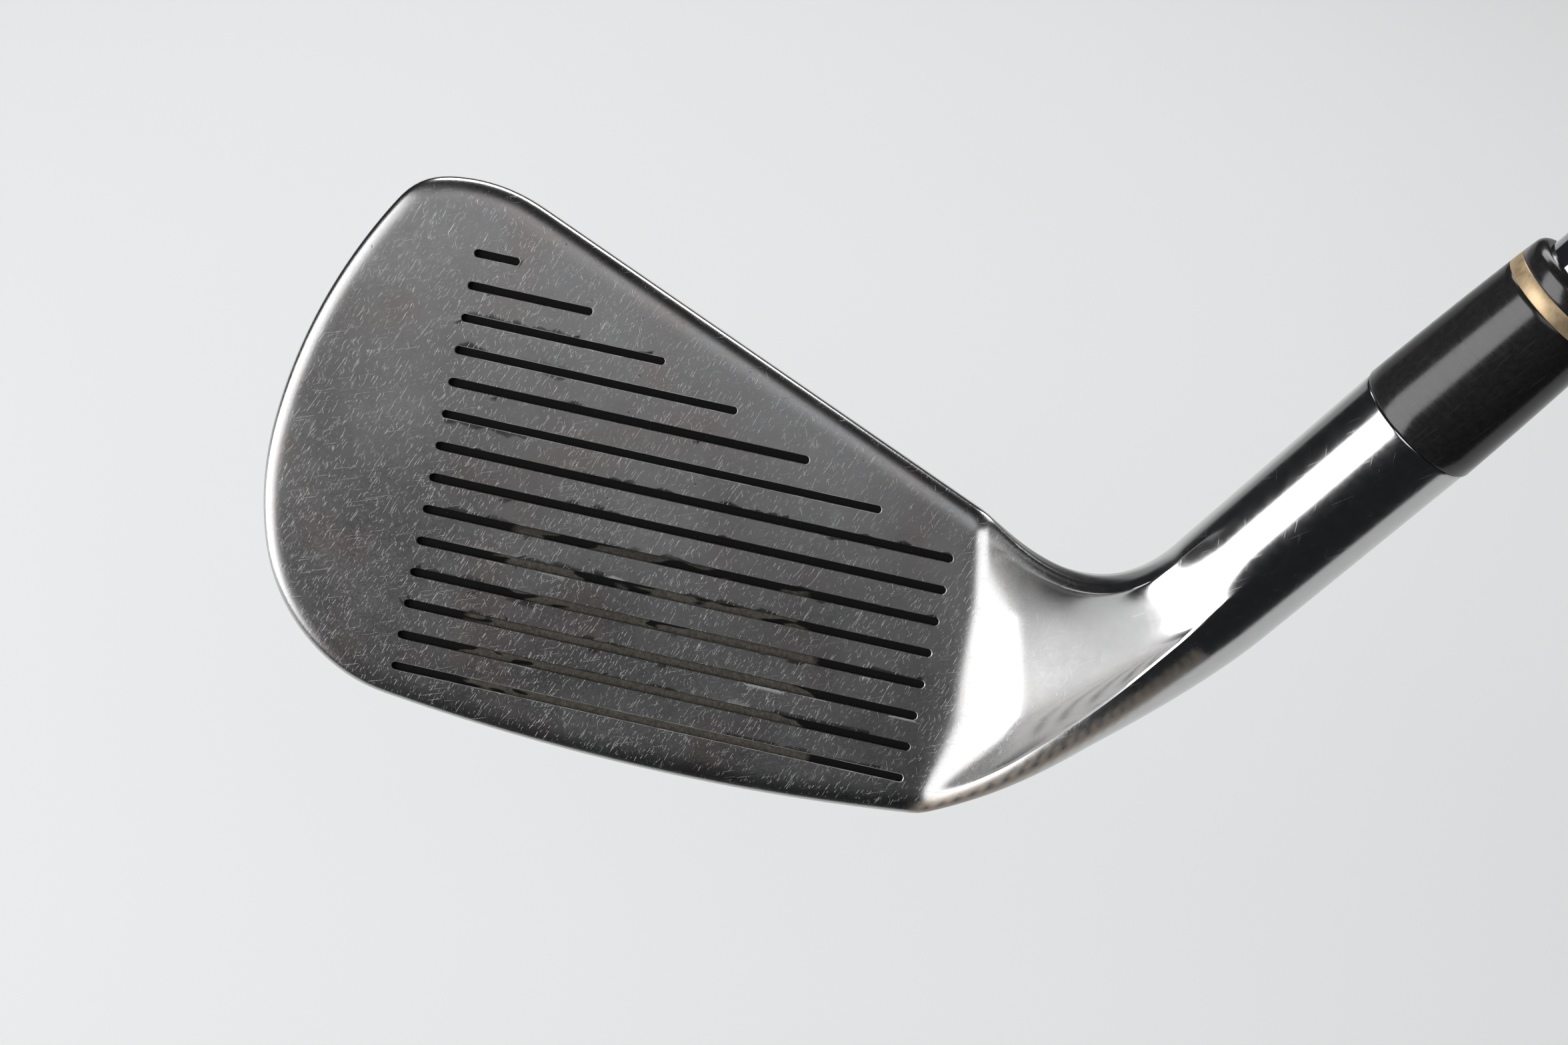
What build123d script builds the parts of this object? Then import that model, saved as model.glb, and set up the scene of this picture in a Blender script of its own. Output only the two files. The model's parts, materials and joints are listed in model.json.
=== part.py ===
"""Right-handed steel-shafted iron, size of a 6-iron, standing in its address pose.

Frame: the origin is where the shaft's axis meets the ground. +Z is up, +X runs along
the grooves from toe to heel, and the face looks towards -Y and upwards by its loft.
"""
import os
from math import atan2, cos, pi, radians, sin, tan

from build123d import *

# ---- the whole club ----
CLUB_LENGTH = 952.5          # 37.5 in, ground to the end of the grip, along the shaft's axis
LIE = 62.0                   # shaft to ground, degrees
LOFT = 28.0                  # face back from upright, degrees

# ---- head: the face and its outline, u along the grooves and v up the face ----
FACE_LIFT = 1.1              # foot of the face plane above the ground
FACE_SET_BACK = 0.2          # foot of the face plane behind the shaft's axis
GROOVE_START = -61.9         # X of the toe-side end of every groove
HEEL_X = -0.8                # X where the flat blade ends and the neck begins
TOPLINE_HIGH = (6.0, 58.95)
TOPLINE_FALL = 22.25         # degrees between the topline and the grooves
TOE_ARCS = (                 # ends of the tangent arcs from the topline round the toe
    (-5.3, 59.85),           # peak
    (-9.3, 57.0),            # shoulder
    (-14.6, 46.4),
    (-18.4, 29.5),           # tip
    (-16.7, 15.8),
    (-5.8, 3.55),            # chin
)
SOLE_START = -1.0            # along the grooves, where the leading edge's long curve begins
SOLE_LOW_U = 31.0            # and where it is lowest
LEADING_EDGE_R = 250.0
FACE_EDGE_R = 1.2            # rounding between the face and the rim
BACK_EDGE_R = 1.4            # rounding between the back and the rim
RUN_PAST = 9.0               # the blank is drawn this far past the finished blade

# ---- head: thickness behind the face ----
TOP_THICKNESS = 4.3
BLADE_THICKNESS = 4.7        # just above the muscle
MUSCLE_THICKNESS = 7.4       # at the muscle's shoulder
SOLE_DEPTH = 11.2            # at the trailing edge
MUSCLE_TOP = 31.0            # heights up the face
MUSCLE_SHOULDER = 25.0
TRAILING_HEIGHT = 7.7
MUSCLE_BLEND_R = 6.0
SOLE_ROLL_R = 37.0           # front to back
SOLE_CAMBER_R = 320.0        # toe to heel
SOLE_LOW_Y = 4.5
SOLE_FORM_WIDTH = 66.0       # wider than the blade is deep
SOFT_TURN = 5                # degrees between faces that count as an edge on the face side
HARD_TURN = 15               # and on the back
TOUCHING = 0.001

# ---- grooves ----
GROOVE_COUNT = 14
GROOVE_PITCH = 3.6
GROOVE_FIRST = 5.65          # height of the lowest groove up the face
GROOVE_WIDTH = 0.9
GROOVE_DEPTH = 0.5
GROOVE_LENGTH = 58.5
FULL_GROOVES = 8             # grooves of full length, from the sole up
GROOVE_SHORTENING = 8.9      # each groove above those is this much shorter

# ---- neck and hosel ----
HOSEL_TOP = 73.7             # along the shaft's axis, from the ground
CROTCH_HEIGHT = 55.0         # Z of the line about which the neck's sections turn
NECK_SECTIONS = (0.0, 0.08, 0.2, 0.36, 0.54, 0.76, 1.0)
NECK_HASTE = 2.4             # how soon the blade's section gives way to the round one
CROTCH_DIP = 0.4             # how far the neck hollows at the crotch, midway round
HEEL_SWELL = 1.0             # and how far it fills out at the heel
BORE_DEPTH = 31.0
HOSEL_WALL = 1.81
GLUE_GAP = 0.13              # all round between the shaft and the bore
MOUTH_CHAMFER = 0.3

# ---- shaft ----
TIP_R = 4.51                 # 0.355 in taper tip
BUTT_R = 7.62                # 0.600 in butt
SHAFT_WALL = 0.4
TIP_PAST_FERRULE = 10.0      # the tip stays parallel this far above the ferrule
TIP_GROWTH = 0.19            # taper of the radius from the tip to the first step
FIRST_STEP = 180.0           # along the axis, from the ground
LAST_STEP_GAP = 16.55        # from the last step up to the grip's mouth
STEP_COUNT = 12
STEP_RISE = 1.2              # length of the cone of one step

# ---- ferrule ----
FERRULE_PROUD = 0.15         # radius over the hosel's
FERRULE_TOP_WALL = 1.22
FERRULE_BODY = 16.6
FERRULE_RING = 1.5
FERRULE_CAP = 2.2
FERRULE_SLIP = 0.02          # all round on the shaft
FERRULE_ROUND = 0.75         # rounding of the top end, as a share of its wall

# ---- tip weight ----
WEIGHT_FLANGE = 1.2
WEIGHT_SHANK = 9.0
WEIGHT_SLIP = 0.05           # all round in the shaft and in the bore

# ---- shaft band ----
BAND_STEP = 7                # the band sits just above this step
BAND_GAP = 4.0
BAND_LENGTH = 20.0
BAND_THICKNESS = 0.12

# ---- grip ----
GRIP_LENGTH = 267.0
TAPE_THICKNESS = 0.2
TAPE_SHORT = 6.0             # the tape stops this far inside the grip's mouth
GRIP_MOUTH_WALL = 0.98       # over the shaft's butt radius
GRIP_BUTT_WALL = 5.68
GRIP_LIP_R = 0.6             # rounding of the mouth's edge
CAP_THICKNESS = 4.0
CAP_ROUND = 2.4              # rounding of the butt's edge
VENT_R = 1.5

lie = radians(LIE)
loft = radians(LOFT)
AXIS_DIR = Vector(cos(lie), 0, sin(lie))
FACE_OUT = Vector(0, -cos(loft), sin(loft))
FACE = Plane(origin=(GROOVE_START, FACE_SET_BACK, FACE_LIFT), x_dir=(1, 0, 0), z_dir=FACE_OUT)
SHAFT_AXIS = Axis((0, 0, 0), AXIS_DIR)

blade_end = HEEL_X - GROOVE_START + RUN_PAST
hosel_r = TIP_R + GLUE_GAP + HOSEL_WALL
ferrule_base_r = hosel_r + FERRULE_PROUD
ferrule_top_r = TIP_R + FERRULE_SLIP + FERRULE_TOP_WALL
grip_butt_r = BUTT_R + GRIP_BUTT_WALL

shaft_tip = HOSEL_TOP - BORE_DEPTH + WEIGHT_FLANGE
shaft_butt = CLUB_LENGTH - CAP_THICKNESS
ferrule_top = HOSEL_TOP + FERRULE_BODY + FERRULE_RING + FERRULE_CAP
grip_mouth = CLUB_LENGTH - GRIP_LENGTH


def turned(profile):
    """Solid of revolution about the shaft's axis, from (distance along the axis, radius) points."""
    across = Plane(origin=(0, 0, 0), x_dir=AXIS_DIR, z_dir=(0, -1, 0))
    outline = Wire.make_polygon([across.from_local_coords(point) for point in profile])
    return revolve(Face(outline), axis=SHAFT_AXIS)


def tube(start, end, inner_r, outer_start_r, outer_end_r=None):
    """Plain or tapered tube about the shaft's axis."""
    outer_end_r = outer_start_r if outer_end_r is None else outer_end_r
    return turned([(start, inner_r), (end, inner_r), (end, outer_end_r), (start, outer_start_r)])


def blade_outline():
    """Face outline: straight topline, round toe and gently cambered sole."""
    fall = (blade_end - TOPLINE_HIGH[0]) * tan(radians(TOPLINE_FALL))
    low = (blade_end, TOPLINE_HIGH[1] - fall)
    sole = [(u, LEADING_EDGE_R - (LEADING_EDGE_R**2 - (u - SOLE_LOW_U)**2) ** 0.5)
            for u in (SOLE_START, SOLE_LOW_U, blade_end)]
    edges = [Line(low, TOPLINE_HIGH)]
    for corner in (*TOE_ARCS, sole[0]):
        edges.append(TangentArc(edges[-1] @ 1, corner, tangent=edges[-1] % 1))
    edges.append(ThreePointArc(*sole))
    edges.append(Line(sole[-1], low))
    return FACE * Face(Wire(edges))


def blade_side():
    """Cross-section of the blade, face to muscle back, carried past the sole and the topline."""
    top = TOPLINE_HIGH[1] + RUN_PAST
    slope = (SOLE_DEPTH - MUSCLE_THICKNESS) / (MUSCLE_SHOULDER - TRAILING_HEIGHT)
    low = SOLE_DEPTH + slope * (TRAILING_HEIGHT + RUN_PAST)
    step = [(MUSCLE_TOP, BLADE_THICKNESS), (MUSCLE_SHOULDER, MUSCLE_THICKNESS)]
    points = [(-RUN_PAST, 0), (top, 0), (top, TOP_THICKNESS), *step, (-RUN_PAST, low)]
    across = Plane(origin=FACE.from_local_coords((HEEL_X - GROOVE_START, 0, 0)),
                   x_dir=FACE.y_dir, z_dir=(-1, 0, 0))
    section = make_face(Polyline(points, close=True))
    shoulders = [corner for corner in section.vertices() if (corner.X, corner.Y) in step]
    return across * fillet(shoulders, MUSCLE_BLEND_R)


def sole_form():
    """Everything above the sole: a wide disc whose rounded rim is the sole's double curve."""
    half_width = SOLE_FORM_WIDTH / 2
    drop = SOLE_ROLL_R - (SOLE_ROLL_R**2 - half_width**2) ** 0.5
    low_x = GROOVE_START + SOLE_LOW_U
    hub = Plane(origin=(low_x, SOLE_LOW_Y, SOLE_CAMBER_R), x_dir=(0, 1, 0), z_dir=(1, 0, 0))
    rim = ThreePointArc((-half_width, drop - SOLE_CAMBER_R), (0, -SOLE_CAMBER_R),
                        (half_width, drop - SOLE_CAMBER_R))
    side = Polyline((half_width, drop - SOLE_CAMBER_R), (half_width, 0), (-half_width, 0),
                    (-half_width, drop - SOLE_CAMBER_R))
    return revolve(hub * make_face(rim + side), axis=Axis(hub.origin, (0, 1, 0)))


def sharp_edges(body, least_turn):
    """Edges where two faces meet at more than a given angle, leaving out the heel's end face."""
    heel_end = body.faces().sort_by(Axis.X)[-1].edges()
    sharp = []
    for edge in body.edges():
        if any(edge.is_same(other) for other in heel_end):
            continue
        beside = [face for face in body.faces() if any(edge.is_same(own) for own in face.edges())]
        normals = [face.normal_at(edge @ 0.5) for face in beside]
        if len(normals) == 2 and normals[0].get_angle(normals[1]) > least_turn:
            sharp.append(edge)
    return sharp


def lies_on_face(edge):
    """Whether an edge runs in the plane of the striking face."""
    return all(abs(FACE.to_local_coords(edge @ t).Z) < TOUCHING for t in (0, 0.5, 1))


def blade():
    """Flat-faced blade from the toe to the start of the neck, its rim rounded on both sides."""
    toe = min(u for u, v in TOE_ARCS)
    body = extrude(blade_side(), amount=blade_end - toe, dir=(-1, 0, 0))
    body = body & extrude(blade_outline(), amount=SOLE_FORM_WIDTH, both=True)
    body = (body & sole_form()).solid()
    front = [edge for edge in sharp_edges(body, SOFT_TURN) if lies_on_face(edge)]
    body = body.fillet(FACE_EDGE_R, front)
    return body.fillet(BACK_EDGE_R, sharp_edges(body, HARD_TURN))


def neck(heel_end):
    """Neck that turns the blade's end section about the crotch into the round hosel."""
    edges = heel_end.outer_wire().order_edges()
    axis_distance = CROTCH_HEIGHT * cos(lie) - HEEL_X * sin(lie)
    start = Plane(origin=(HEEL_X, 0, CROTCH_HEIGHT), x_dir=(0, 1, 0), z_dir=(1, 0, 0))
    local = [[start.to_local_coords(edge @ t) for t in (0, 0.5, 1)] for edge in edges]
    corners = [point for points in local for point in points]
    top = max(corners, key=lambda point: point.Y)
    foot = min(corners, key=lambda point: point.Y)
    lean = (top.X - foot.X) / (top.Y - foot.Y)
    middle = (top.Y + foot.Y) / 2

    def upright(point):
        return point.X - foot.X - (point.Y - foot.Y) * lean

    half_width = max(abs(upright(point)) for point in corners)

    def on_hosel(point):
        angle = atan2((point.Y - middle) / (top.Y - middle), upright(point) / half_width)
        return Vector(hosel_r * cos(angle), hosel_r * sin(angle) - axis_distance)

    def shaped(point, wave):
        rise = (point.Y - middle) / (top.Y - middle)
        return point - Vector(0, wave * rise * (CROTCH_DIP if rise > 0 else -HEEL_SWELL))

    sections = [heel_end.outer_wire()]
    for turn in NECK_SECTIONS[1:]:
        share = 1 - (1 - turn) ** NECK_HASTE
        plane = Plane(start.origin, x_dir=(0, 1, 0),
                      z_dir=(cos(turn * lie), 0, sin(turn * lie)))
        parts = []
        for points in local:
            mixed = [shaped(point * (1 - share) + on_hosel(point) * share, sin(pi * turn))
                     for point in points]
            places = [plane.from_local_coords((point.X, point.Y)) for point in mixed]
            parts.append(ThreePointArc(*places) if share == 1 else Spline(places))
        sections.append(Wire(parts))
    return Solid.make_loft(sections)


def groove_cuts():
    """Round-ended grooves, cut square to the face."""
    cuts = []
    for row in range(GROOVE_COUNT):
        length = GROOVE_LENGTH - GROOVE_SHORTENING * max(0, row - FULL_GROOVES + 1)
        place = FACE * Pos(length / 2, GROOVE_FIRST + row * GROOVE_PITCH, 0)
        slot = SlotOverall(length, GROOVE_WIDTH)
        cuts.append(extrude(place * slot, amount=GROOVE_DEPTH, both=True))
    return cuts


def head():
    """Forged head: blade, neck and hosel in one, bored for the shaft and grooved."""
    plate = blade()
    hosel_start = CROTCH_HEIGHT * sin(lie) + HEEL_X * cos(lie)
    hosel = turned([(hosel_start, 0), (hosel_start, hosel_r), (HOSEL_TOP, hosel_r), (HOSEL_TOP, 0)])
    body = plate.fuse(neck(plate.faces().sort_by(Axis.X)[-1]), hosel)
    bore_r = TIP_R + GLUE_GAP
    bore = turned([(HOSEL_TOP - BORE_DEPTH, 0), (HOSEL_TOP - BORE_DEPTH, bore_r),
                   (HOSEL_TOP - MOUTH_CHAMFER, bore_r), (HOSEL_TOP, bore_r + MOUTH_CHAMFER),
                   (HOSEL_TOP + 1, bore_r + MOUTH_CHAMFER), (HOSEL_TOP + 1, 0)])
    return (body - bore - groove_cuts()).solid()


def hosel_epoxy():
    """Set adhesive between the shaft's tip and the bore."""
    return tube(shaft_tip, HOSEL_TOP - MOUTH_CHAMFER, TIP_R, TIP_R + GLUE_GAP)


def tip_weight():
    """Brass plug: a flange on the bore's floor and a shank up inside the shaft's tip."""
    flange_r = TIP_R + GLUE_GAP - WEIGHT_SLIP
    shank_r = TIP_R - SHAFT_WALL - WEIGHT_SLIP
    shank_end = shaft_tip + WEIGHT_SHANK
    return turned([(shaft_tip - WEIGHT_FLANGE, 0), (shaft_tip - WEIGHT_FLANGE, flange_r),
                   (shaft_tip, flange_r), (shaft_tip, shank_r), (shank_end, shank_r), (shank_end, 0)])


def ferrule_length(start, length):
    """A length of the tapered ferrule, from a distance above the hosel."""
    whole = FERRULE_BODY + FERRULE_RING + FERRULE_CAP
    radii = [ferrule_base_r + (ferrule_top_r - ferrule_base_r) * rise / whole
             for rise in (start, start + length)]
    return tube(HOSEL_TOP + start, HOSEL_TOP + start + length, TIP_R + FERRULE_SLIP, *radii)


def ferrule_cap():
    """Short black end of the ferrule, its outer edge rounded over."""
    cap = ferrule_length(FERRULE_BODY + FERRULE_RING, FERRULE_CAP)
    return round_outer_end(cap, FERRULE_ROUND * FERRULE_TOP_WALL)


def round_outer_end(body, radius, far=True):
    """Round the outer edge of one end of a turned part."""
    ends = body.edges().filter_by(GeomType.CIRCLE).sort_by(Axis((0, 0, 0), AXIS_DIR))
    end = ends[-2:] if far else ends[:2]
    return fillet(max(end, key=lambda edge: edge.radius), radius)


def shaft_steps():
    """(distance, outer radius) at the foot and the top of every step, from tip to butt."""
    pitch = (grip_mouth - LAST_STEP_GAP - FIRST_STEP) / (STEP_COUNT - 1)
    growth = (BUTT_R - TIP_R - TIP_GROWTH) / STEP_COUNT
    points = []
    for step in range(STEP_COUNT):
        foot = FIRST_STEP + step * pitch
        points.append((foot, TIP_R + TIP_GROWTH + step * growth))
        points.append((foot + STEP_RISE, TIP_R + TIP_GROWTH + (step + 1) * growth))
    return points


def shaft():
    """Stepped steel tube with an even wall."""
    outside = [(shaft_tip, TIP_R), (ferrule_top + TIP_PAST_FERRULE, TIP_R), *shaft_steps(),
               (shaft_butt, BUTT_R)]
    inside = [(place, radius - SHAFT_WALL) for place, radius in reversed(outside)]
    return turned(outside + inside)


def shaft_band():
    """Thin plain label round the shaft."""
    step_top, radius = shaft_steps()[2 * BAND_STEP + 1]
    start = step_top + BAND_GAP
    return tube(start, start + BAND_LENGTH, radius, radius + BAND_THICKNESS)


def grip_tape():
    """Double-sided tape between the shaft's butt and the grip."""
    return tube(grip_mouth + TAPE_SHORT, shaft_butt, BUTT_R, BUTT_R + TAPE_THICKNESS)


def grip_sleeve():
    """Tapered rubber sleeve; its mouth closes on the bare shaft just below the tape."""
    tape_start = grip_mouth + TAPE_SHORT
    tape_r = BUTT_R + TAPE_THICKNESS
    body = turned([(grip_mouth, BUTT_R), (tape_start, BUTT_R), (tape_start, tape_r), (shaft_butt, tape_r),
                   (shaft_butt, grip_butt_r), (grip_mouth, BUTT_R + GRIP_MOUTH_WALL)])
    return round_outer_end(body, GRIP_LIP_R, far=False)


def grip_cap():
    """Butt end of the grip, with its vent hole."""
    return round_outer_end(tube(shaft_butt, CLUB_LENGTH, VENT_R, grip_butt_r), CAP_ROUND)


os.makedirs("parts", exist_ok=True)
pieces = {
    "head": head(),
    "hosel_epoxy": hosel_epoxy(),
    "tip_weight": tip_weight(),
    "ferrule_body": ferrule_length(0, FERRULE_BODY),
    "ferrule_ring": ferrule_length(FERRULE_BODY, FERRULE_RING),
    "ferrule_cap": ferrule_cap(),
    "shaft": shaft(),
    "shaft_band": shaft_band(),
    "grip_tape": grip_tape(),
    "grip_sleeve": grip_sleeve(),
    "grip_cap": grip_cap(),
}
for name, piece in pieces.items():
    export_step(piece, f"parts/{name}.step")
    print(f"{name}: {piece.volume:.1f} mm3")
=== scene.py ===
# %% [markdown]
# A steel iron golf club, seen face on with its head filling the picture.
# The CAD frame carries the true sizes and places. This script dresses it: the forged
# head, the ferrule, the shaft and the grip are modelled again with the detail and the
# wear that a used club has, and the hidden parts get their own finishes.
# %% Load the frame
import json
import math
import bpy
from mathutils import Matrix, Vector


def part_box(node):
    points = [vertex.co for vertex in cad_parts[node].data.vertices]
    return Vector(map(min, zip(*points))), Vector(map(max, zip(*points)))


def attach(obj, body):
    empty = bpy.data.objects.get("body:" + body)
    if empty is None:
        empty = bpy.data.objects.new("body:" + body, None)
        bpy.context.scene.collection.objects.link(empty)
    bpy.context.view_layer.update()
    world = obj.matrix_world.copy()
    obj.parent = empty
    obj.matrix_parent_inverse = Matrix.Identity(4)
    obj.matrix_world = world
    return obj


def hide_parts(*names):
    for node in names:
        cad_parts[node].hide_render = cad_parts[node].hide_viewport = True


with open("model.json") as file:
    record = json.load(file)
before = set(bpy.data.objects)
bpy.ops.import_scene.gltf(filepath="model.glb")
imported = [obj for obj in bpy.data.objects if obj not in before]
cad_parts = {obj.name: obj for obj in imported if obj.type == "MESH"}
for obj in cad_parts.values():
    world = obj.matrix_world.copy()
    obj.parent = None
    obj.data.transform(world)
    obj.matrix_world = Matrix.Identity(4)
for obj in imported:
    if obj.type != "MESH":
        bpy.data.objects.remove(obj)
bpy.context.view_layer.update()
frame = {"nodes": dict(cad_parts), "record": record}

MM = 0.001
mounts = {m["name"]: m for m in frame["record"]["mounts"]}
AXIS = Vector(mounts["address_point"]["axis"])
FACE_OUT = Vector(mounts["striking_face"]["axis"])
FACE_POINT = Vector(mounts["striking_face"]["pos_m"]) / MM
LIE = math.atan2(AXIS.z, AXIS.x)
LOFT = math.atan2(FACE_OUT.z, -FACE_OUT.y)
print("lie", round(math.degrees(LIE), 1), "loft", round(math.degrees(LOFT), 1))

# %% [markdown]
# Small helpers come first. Each one does a single job in edit mode, so that the later
# cells read as a list of steps: pick by place, then extrude, scale or close.
# %% Editing helpers


def start_edit(obj=None):
    """Go to edit mode with nothing picked."""
    if obj:
        bpy.ops.object.select_all(action="DESELECT")
        obj.select_set(True)
        bpy.context.view_layer.objects.active = obj
    bpy.ops.object.mode_set(mode="EDIT")
    bpy.ops.mesh.select_all(action="DESELECT")


def pick(obj, test, kind="VERT"):
    """In edit mode, select the vertices, edges or faces whose middle passes a test."""
    bpy.ops.mesh.select_mode(type=kind)
    bpy.ops.mesh.select_all(action="DESELECT")
    bpy.ops.object.mode_set(mode="OBJECT")
    verts = obj.data.vertices
    parts = {"VERT": verts, "EDGE": obj.data.edges, "FACE": obj.data.polygons}[kind]
    for part in parts:
        if kind == "VERT":
            ends = [part.co]
        else:
            ends = [verts[i].co for i in part.vertices]
        part.select = bool(test(ends))
    bpy.ops.object.mode_set(mode="EDIT")


def finish_edit(obj, name, angle=35):
    """Back to object mode: name the piece and smooth it, keeping its real corners."""
    bpy.ops.mesh.select_all(action="SELECT")
    bpy.ops.mesh.normals_make_consistent(inside=False)
    bpy.ops.object.mode_set(mode="OBJECT")
    obj.name = name
    bpy.ops.object.shade_smooth_by_angle(angle=math.radians(angle))
    return obj


# %% [markdown]
# Most of a club is turned: the shaft, the ferrule and the grip are all round about one
# line. A circle is extruded and resized from station to station, which is the way a
# lathe hand thinks of it: how far along, and how wide there.
# %% A turned piece


def turned(name, stations, sides=96, hollow=False, angle=35):
    """Round piece from (distance along, radius) stations in mm, modelled along Z."""
    along, radius = stations[0]
    bpy.ops.object.select_all(action="DESELECT")
    bpy.ops.mesh.primitive_circle_add(vertices=sides, radius=radius * MM,
                                      location=(0, 0, along * MM), fill_type="NOTHING")
    obj = bpy.context.object
    bpy.ops.object.transform_apply(location=True, rotation=False, scale=False)
    bpy.ops.object.mode_set(mode="EDIT")
    bpy.ops.mesh.select_all(action="SELECT")
    if not hollow:
        bpy.ops.mesh.edge_face_add()
    for place, wide in stations[1:]:
        bpy.ops.mesh.extrude_region_move(
            TRANSFORM_OT_translate={"value": (0, 0, (place - along) * MM)})
        bpy.ops.transform.resize(value=(wide / radius, wide / radius, 1))
        along, radius = place, wide
    if hollow:
        bpy.ops.mesh.select_mode(type="EDGE")
        bpy.ops.mesh.select_all(action="DESELECT")
        bpy.ops.mesh.select_non_manifold()
        bpy.ops.mesh.bridge_edge_loops()
    return finish_edit(obj, name, angle)


def stand_on_axis(obj):
    """Turn a piece modelled along Z to lie along the shaft's axis."""
    obj.data.transform(Matrix.Rotation(math.pi / 2 - LIE, 4, "Y"))
    return obj


# %% [markdown]
# The head was forged from one steel bar. Its face is flat and its outline is a chain of
# arcs that run smoothly into each other, so the outline is worked out that way too:
# every arc starts in the direction in which the last one ended.
# Heights and lengths are in mm: u along the grooves, v up the face, d behind it.
# %% The outline of the face
UP_FACE = Vector((0, math.sin(LOFT), math.cos(LOFT)))
STRIKE_HEIGHT = 21.85        # of the middle of the face, up the face
FACE_FOOT = FACE_POINT - STRIKE_HEIGHT * UP_FACE
TOE_REACH = 18.5             # from the grooves' toe end to the tip of the toe
GROOVE_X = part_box("head")[0].x / MM + TOE_REACH
HEEL_X = -0.8
HEEL_U = HEEL_X - GROOVE_X
TOPLINE_HIGH = (6.0, 58.95)
TOPLINE_FALL = math.radians(22.1)
TOE_ARCS = [(-5.3, 59.85), (-9.3, 57.0), (-14.6, 46.4), (-18.4, 29.5),
            (-16.7, 15.8), (-5.8, 3.55), (-1.0, 2.05)]
SOLE_LOW_U = 31.0
LEADING_EDGE_R = 250.0
TOE_PEAK = (-8.2, 58.2)      # where the topline's squares hand over to the toe's
TOE_CHIN = (-10.0, 6.4)      # and the toe's to the sole's
FACE_ROLL = 2.2              # width of the rounding on the face side
FACE_EDGE_R = 1.2            # and its depth
BACK_EDGE_R = 1.4


def outline_path():
    """Dense points of the outline, from the heel along the top, round the toe, to the heel."""
    top = Vector(TOPLINE_HIGH)
    heel_top = Vector((HEEL_U, top.y - (HEEL_U - top.x) * math.tan(TOPLINE_FALL)))
    path = [heel_top.lerp(top, step / 40) for step in range(41)]
    heading = (top - heel_top).normalized()
    for corner in TOE_ARCS:
        start = path[-1]
        chord = Vector(corner) - start
        side = Vector((-heading.y, heading.x))
        half = math.asin(chord.dot(side) / chord.length)
        radius = chord.length / (2 * math.sin(half))
        for step in range(1, 25):
            swept = 2 * half * step / 24
            path.append(start + radius * (math.sin(swept) * heading + (1 - math.cos(swept)) * side))
        heading = math.cos(2 * half) * heading + math.sin(2 * half) * side
    for step in range(1, 61):
        u = TOE_ARCS[-1][0] + (HEEL_U - TOE_ARCS[-1][0]) * step / 60
        path.append(Vector((u, LEADING_EDGE_R - (LEADING_EDGE_R**2 - (u - SOLE_LOW_U)**2)**0.5)))
    return path


def spread(path, count):
    """The same path as evenly spaced points."""
    lengths = [0]
    for a, b in zip(path, path[1:]):
        lengths.append(lengths[-1] + (b - a).length)
    points = []
    place = 0
    for step in range(count + 1):
        want = lengths[-1] * step / count
        while place < len(path) - 2 and lengths[place + 1] < want:
            place += 1
        share = (want - lengths[place]) / (lengths[place + 1] - lengths[place])
        points.append(path[place].lerp(path[place + 1], share))
    return points


ALONG = 44                   # squares of the face along the grooves
UP = 36                      # and up the face
path = outline_path()
peak, chin = (min(range(len(path)), key=lambda n: (path[n] - Vector(spot)).length)
              for spot in (TOE_PEAK, TOE_CHIN))
rim = spread(path[:peak + 1], ALONG)[:-1] + spread(path[peak:chin + 1], UP)[:-1]
rim += spread(path[chin:], ALONG)
inward = []
for n in range(len(rim)):
    run = (rim[min(n + 1, len(rim) - 1)] - rim[max(n - 1, 0)]).normalized()
    inward.append(Vector((-run.y, run.x)))
print("outline", len(rim), "points; heel at", [round(c, 1) for c in rim[0]])

# %% [markdown]
# Behind the face the blade is thin at the top and thick low down: the muscle, which puts
# weight behind the ball. Two rounded maximums make that step and the double curve of the
# sole without any hard line.
# %% The back and the sole
SOLE_ROLL_R = 37.0
SOLE_CAMBER_R = 320.0
SOLE_LOW_Y = 4.5
SOLE_LOW_SHIFT = 2.9         # the sole is lowest this far heelward of the leading edge's low point
PLATE_THICK = 4.7            # of the thin upper blade, at the step
STEP_V = 31                  # height up the face at which the muscle begins
MUSCLE_V = 25                # a height within the muscle
MUSCLE_THICK = 7.4           # and how thick the blade is there


def soft_max(a, b, width):
    """The larger of two numbers, rounded over where they cross."""
    near = max(width - abs(a - b), 0) / width
    return max(a, b) + near * near * width / 4


def back_depth(v):
    """Thickness of the blade at a height up the face."""
    plate = PLATE_THICK + (STEP_V - v) * 0.0143
    step = PLATE_THICK + (STEP_V - v) * 0.45
    muscle = MUSCLE_THICK + (MUSCLE_V - v) * 0.22
    return soft_max(plate, -soft_max(-step, -muscle, 1.6), 1.6)


def sole_height(u, depth):
    """Height up the face plane at which the sole lies, under a point at some depth."""
    v = 0
    for _ in range(4):
        y = FACE_FOOT.y + v * math.sin(LOFT) + depth * math.cos(LOFT)
        z = (y - SOLE_LOW_Y)**2 / (2 * SOLE_ROLL_R)
        z += (u - SOLE_LOW_U - SOLE_LOW_SHIFT)**2 / (2 * SOLE_CAMBER_R)
        v = (z - FACE_FOOT.z + depth * math.sin(LOFT)) / math.cos(LOFT)
    return v


def place(u, v, depth):
    """Point in the frame, in mm, from its place on the face."""
    return Vector((GROOVE_X + u,
                   FACE_FOOT.y + v * math.sin(LOFT) + depth * math.cos(LOFT),
                   FACE_FOOT.z + v * math.cos(LOFT) - depth * math.sin(LOFT)))


ROUND = 4                    # steps round each edge
WALL = 5                     # steps across the wall between them
THICK = 2 * ROUND + WALL


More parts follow.
